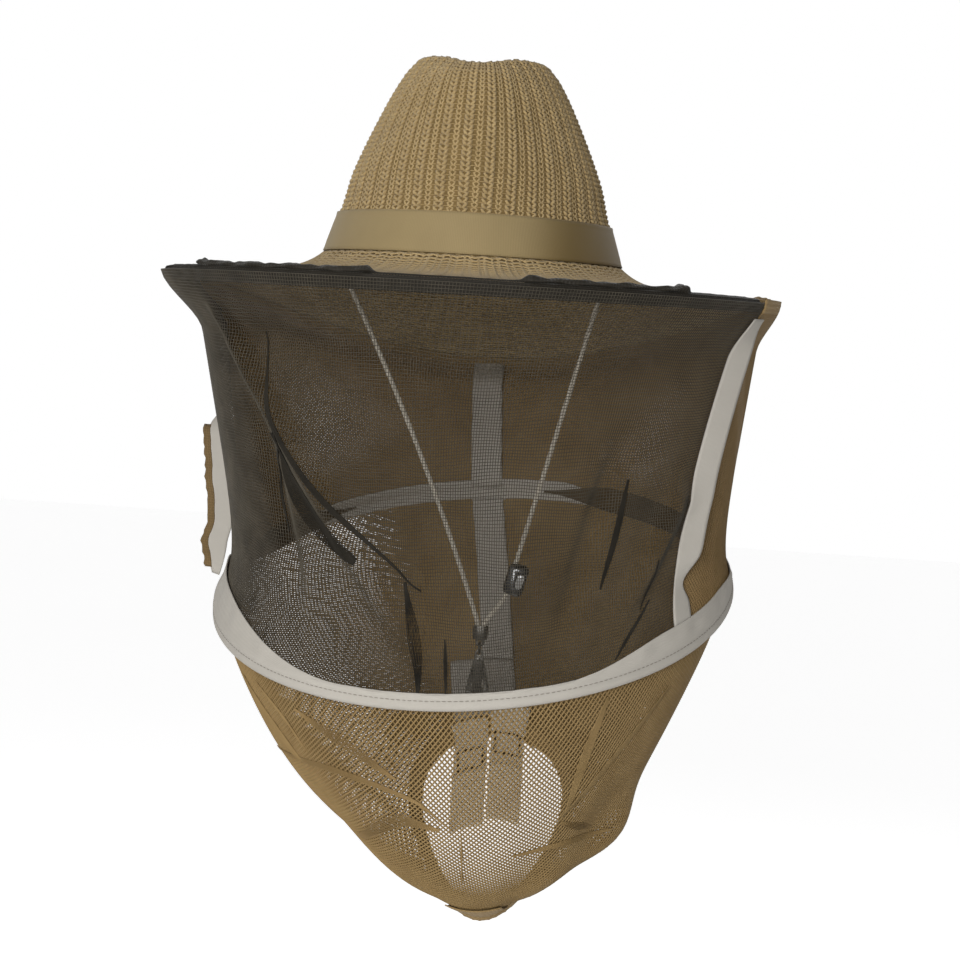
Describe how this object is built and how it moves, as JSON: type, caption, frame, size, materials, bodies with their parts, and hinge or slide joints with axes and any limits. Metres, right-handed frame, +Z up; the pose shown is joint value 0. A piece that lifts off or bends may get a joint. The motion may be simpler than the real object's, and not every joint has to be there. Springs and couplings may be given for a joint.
{
  "type": "beekeeping veil",
  "caption": "Beekeeping veil: a wide-brimmed knitted hat with a netting veil, a taped hoop at the collar, a netting pouch with an elastic hem, and a chin cord with a lock and clip.",
  "frame": {"origin": "middle of the head opening, where the crown meets the brim", "axes": "+Z up the crown, -Y the way the wearer looks, +X to the right as seen from the front"},
  "size_m": [0.3527, 0.3787, 0.4825],
  "materials": {
    "straw": "coarse knitted straw yarn",
    "sweatband": "plain woven cloth",
    "ribbon": "ribbed ribbon",
    "wire": "bright drawn wire",
    "black_mesh": "fine black netting",
    "khaki_net": "coarse khaki netting",
    "white_tape": "woven cotton tape",
    "elastic": "woven elastic",
    "cord": "braided cord",
    "nickel": "nickel plated pressed steel",
    "black_plastic": "moulded",
    "grey_plastic": "moulded"
  },
  "bodies": {
    "hat": {"crown": "straw", "sweatband": "sweatband", "hatband": "ribbon", "brim": "straw", "brim_wire": "wire", "front_veil_hem": "black_mesh", "rear_veil_hem": "khaki_net", "front_veil": "black_mesh", "rear_veil": "khaki_net", "seam_tape_left": "white_tape", "seam_tape_right": "white_tape", "back_tape": "white_tape", "cord_tab_left": "white_tape", "cord_tab_right": "white_tape", "chin_cord_left": "cord", "chin_cord_right": "cord", "cord_crimp": "nickel"},
    "hoop": {"lower_hoop": "wire", "hoop_tape": "white_tape", "pouch": "khaki_net", "hem_casing": "khaki_net", "hem_elastic": "elastic", "back_tape_lower": "white_tape", "strap_patch": "white_tape", "front_patch": "khaki_net", "strap_left": "elastic", "strap_right": "elastic"},
    "clip": {"clip_ring": "nickel", "clip_plate": "nickel", "clip_pin": "nickel", "clip_spring": "nickel"},
    "clip_jaw": {"clip_lever": "nickel"},
    "cord_lock": {"cord_lock_body": "black_plastic", "cord_lock_spring": "wire"},
    "lock_button": {"cord_lock_button": "grey_plastic"}
  },
  "joints": [
    {"name": "veil_lift", "type": "slide", "parent": "hat", "child": "hoop", "axis": [0, 0, 1], "range_m": [0, 0.05], "deforming": ["front_veil", "rear_veil", "seam_tape_left", "seam_tape_right", "back_tape"]},
    {"name": "cord_lock_slide", "type": "slide", "parent": "hat", "child": "cord_lock", "axis": [0.2404, 0, 0.9707], "range_m": [0, 0.1]},
    {"name": "lock_press", "type": "slide", "parent": "cord_lock", "child": "lock_button", "axis": [0, 1, 0], "range_m": [0, 0.001], "stiffness_N_per_m": 1500, "springref_m": -0.0006, "deforming": ["cord_lock_spring"]},
    {"name": "clip_swing", "type": "hinge", "parent": "hat", "child": "clip", "pos_m": [0.017, 0, -0.2098], "axis": [0, 1, 0], "range_deg": [-30, 30]},
    {"name": "clip_pinch", "type": "hinge", "parent": "clip", "child": "clip_jaw", "pos_m": [0.017, -0.00285, -0.2258], "axis": [-1, 0, 0], "range_deg": [0, 28], "stiffness_Nm_per_rad": 0.05, "springref_deg": -20.05, "deforming": ["clip_spring"]}
  ]
}
